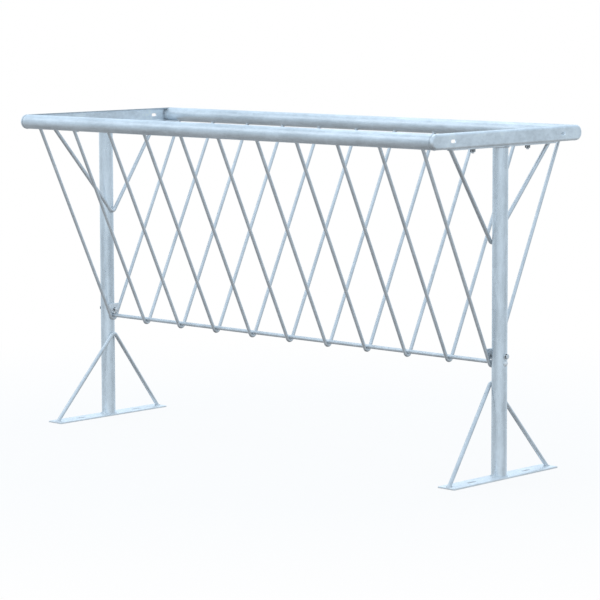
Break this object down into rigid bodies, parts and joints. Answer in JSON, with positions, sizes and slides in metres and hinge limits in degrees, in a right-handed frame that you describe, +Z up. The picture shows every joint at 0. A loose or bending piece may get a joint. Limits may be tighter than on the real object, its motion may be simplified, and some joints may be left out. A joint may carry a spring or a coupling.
{
  "type": "hay rack",
  "caption": "Free-standing double-sided hay rack of galvanized steel: a V-shaped trough of bent rods between two round rails, on braced tube stands.",
  "frame": {"origin": "middle of the footprint, on the ground, midway between the two stands", "axes": "+X along the rails towards the right-hand stand, +Y from the front rail to the rear rail, +Z up"},
  "size_m": [2.3, 0.9042, 1.34],
  "materials": {
    "galvanized_tube": "hot-dip galvanized, satin with faint spangle",
    "galvanized_channel": "hot-dip galvanized, satin with faint spangle",
    "galvanized_plate": "hot-dip galvanized, dull satin",
    "galvanized_rod": "hot-dip galvanized, satin",
    "zinc_fastener": "zinc plated, brighter than the dipped steel"
  },
  "bodies": {
    "root": {"foot_plate_left": "galvanized_plate", "foot_plate_right": "galvanized_plate", "post_left": "galvanized_tube", "post_right": "galvanized_tube", "head_plate_left": "galvanized_plate", "head_plate_right": "galvanized_plate", "upper_brace_left": "galvanized_rod", "upper_brace_right": "galvanized_rod", "lower_brace_left": "galvanized_rod", "lower_brace_right": "galvanized_rod", "front_rail": "galvanized_tube", "rear_rail": "galvanized_tube", "end_channel_left": "galvanized_channel", "end_channel_right": "galvanized_channel", "bottom_rod": "galvanized_rod", "hairpin_01": "galvanized_rod", "hairpin_02": "galvanized_rod", "hairpin_03": "galvanized_rod", "hairpin_04": "galvanized_rod", "hairpin_05": "galvanized_rod", "hairpin_06": "galvanized_rod", "hairpin_07": "galvanized_rod", "hairpin_08": "galvanized_rod", "hairpin_09": "galvanized_rod", "hairpin_10": "galvanized_rod", "hairpin_11": "galvanized_rod", "gusset_left": "galvanized_plate", "gusset_right": "galvanized_plate", "head_bolts": "zinc_fastener", "head_nuts": "zinc_fastener", "head_washers": "zinc_fastener", "post_bolts": "zinc_fastener", "post_nuts": "zinc_fastener", "post_washers": "zinc_fastener"}
  },
  "joints": []
}
